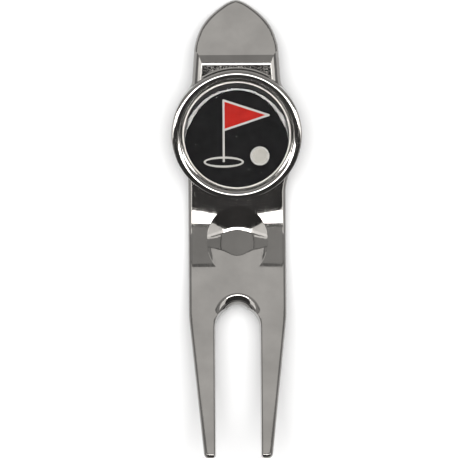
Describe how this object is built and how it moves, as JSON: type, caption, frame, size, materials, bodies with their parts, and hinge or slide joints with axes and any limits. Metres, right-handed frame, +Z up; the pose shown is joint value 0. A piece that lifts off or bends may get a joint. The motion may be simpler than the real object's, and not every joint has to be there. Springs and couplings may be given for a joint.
{
  "type": "divot repair tool",
  "caption": "Bent two-pronged golf divot repair tool with a spade-shaped end, a thumb dish and a magnetic cup that holds a removable round ball marker.",
  "frame": {"origin": "bottom centre of the tool's box, lying marker side up on its lower bend and its leaf's tip", "axes": "+X across the tool, +Y along it from the prongs to the spade-shaped leaf, +Z up"},
  "size_m": [0.026, 0.0913, 0.011],
  "materials": {
    "plated_casting": "polished black-nickel plating on a zinc casting",
    "magnet_plating": "bright nickel plating",
    "adhesive": "cured epoxy adhesive",
    "marker_nickel": "nickel plating on stamped iron",
    "black_enamel": "gloss black enamel",
    "red_enamel": "gloss red enamel",
    "white_enamel": "gloss off-white enamel",
    "clear_epoxy": "clear cast epoxy doming"
  },
  "bodies": {
    "tool": {"tool_body": "plated_casting", "magnet": "magnet_plating", "magnet_glue": "adhesive"},
    "marker": {"marker_coin": "marker_nickel", "marker_black_enamel": "black_enamel", "marker_red_enamel": "red_enamel", "marker_white_enamel": "white_enamel", "marker_dome": "clear_epoxy"}
  },
  "joints": [
    {"name": "marker_lift", "type": "slide", "parent": "tool", "child": "marker", "axis": [0, -0.1132, 0.9936], "range_m": [0, 0.02]}
  ]
}
